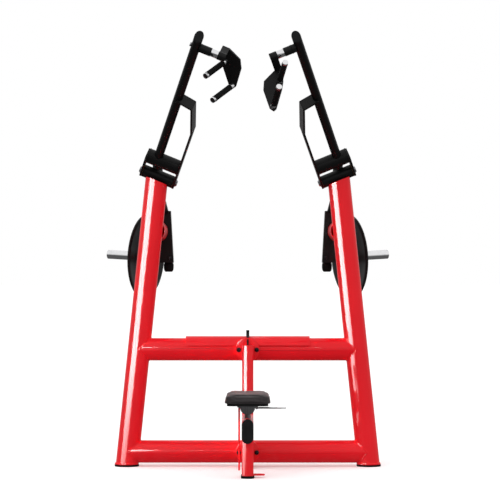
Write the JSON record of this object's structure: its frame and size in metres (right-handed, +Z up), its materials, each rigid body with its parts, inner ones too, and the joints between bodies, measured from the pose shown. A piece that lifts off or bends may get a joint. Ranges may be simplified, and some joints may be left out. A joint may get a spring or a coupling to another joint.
{
  "type": "lat pulldown machine",
  "caption": "Plate-loaded lat pulldown machine with independent swinging levers, swivel handles, an adjustable seat and a round-tube frame.",
  "frame": {"origin": "on the floor, under the middle of the whole machine's box", "axes": "+Z up; the user sits facing +Y, so -Y is the front; +X to the right"},
  "size_m": [1.5084, 1.6948, 2.136],
  "materials": {
    "red_paint": "gloss",
    "black_paint": "satin",
    "chrome": "polished",
    "zinc": "bright zinc",
    "rubber": "matt",
    "black_plastic": "fine grain",
    "black_oxide": "black oxide",
    "bronze": "oiled bronze",
    "vinyl": "grained vinyl",
    "grey_steel": "satin grey"
  },
  "bodies": {
    "frame": {"beam_cap": "black_plastic", "column_bosses": "red_paint", "cover_bracket": "black_paint", "foot_pads": "rubber", "foot_plates": "red_paint", "frame_bolts": "black_oxide", "front_leg": "red_paint", "lower_rail": "red_paint", "pivot_bushes": "bronze", "pivot_housing_left": "black_paint", "pivot_housing_right": "black_paint", "rail_cover": "red_paint", "rear_leg_left": "red_paint", "rear_leg_right": "red_paint", "seat_beam": "red_paint", "seat_column": "red_paint", "stop_beam_left": "red_paint", "stop_beam_right": "red_paint", "stop_pads": "rubber", "upper_rail": "red_paint", "upright_left": "red_paint", "upright_right": "red_paint"},
    "lever_left": {"pivot_axle_left": "zinc", "side_plate_left": "black_paint", "strap_left": "black_paint", "cross_tube_left": "black_paint", "arm_tube_left": "black_paint", "arm_cap_left": "black_plastic", "handle_hub_left": "black_paint", "rear_arm_left": "black_paint", "weight_carrier_left": "black_paint", "carrier_bumper_left": "rubber", "plate_horn_left": "chrome", "guard_disc_left": "black_paint"},
    "handle_left": {"handle_spindle_left": "chrome", "handle_plate_left": "black_paint", "grip_sleeves_left": "rubber", "grip_ends_left": "chrome"},
    "lever_right": {"pivot_axle_right": "zinc", "side_plate_right": "black_paint", "strap_right": "black_paint", "cross_tube_right": "black_paint", "arm_tube_right": "black_paint", "arm_cap_right": "black_plastic", "handle_hub_right": "black_paint", "rear_arm_right": "black_paint", "weight_carrier_right": "black_paint", "carrier_bumper_right": "rubber", "plate_horn_right": "chrome", "guard_disc_right": "black_paint"},
    "handle_right": {"handle_spindle_right": "chrome", "handle_plate_right": "black_paint", "grip_sleeves_right": "rubber", "grip_ends_right": "chrome"},
    "seat": {"seat_cushion": "vinyl", "seat_board": "black_plastic", "seat_bracket": "grey_steel", "seat_post": "grey_steel", "seat_rack": "red_paint"},
    "seat_trip": {"seat_trip_lever": "chrome"}
  },
  "joints": [
    {"name": "lever_left_pull", "type": "hinge", "parent": "frame", "child": "lever_left", "pos_m": [-0.45305, 0.07356, 1.471], "axis": [0.9272, 0, -0.3746], "range_deg": [0, 60]},
    {"name": "lever_right_pull", "type": "hinge", "parent": "frame", "child": "lever_right", "pos_m": [0.45305, 0.07356, 1.471], "axis": [0.9272, 0, 0.3746], "range_deg": [0, 60]},
    {"name": "handle_left_swivel", "type": "hinge", "parent": "lever_left", "child": "handle_left", "pos_m": [-0.21707, -0.67717, 2.05506], "axis": [0.9272, 0, -0.3746], "continuous": true},
    {"name": "handle_right_swivel", "type": "hinge", "parent": "lever_right", "child": "handle_right", "pos_m": [0.21707, -0.67717, 2.05506], "axis": [0.9272, 0, 0.3746], "continuous": true},
    {"name": "seat_height", "type": "slide", "parent": "frame", "child": "seat", "axis": [0, 0, 1], "range_m": [0, 0.16]},
    {"name": "seat_trip_lift", "type": "hinge", "parent": "seat", "child": "seat_trip", "pos_m": [0.044, -0.52944, 0.336], "axis": [0, -1, 0], "range_deg": [0, 12], "stiffness_Nm_per_rad": 0.8, "springref_deg": -11.46}
  ]
}
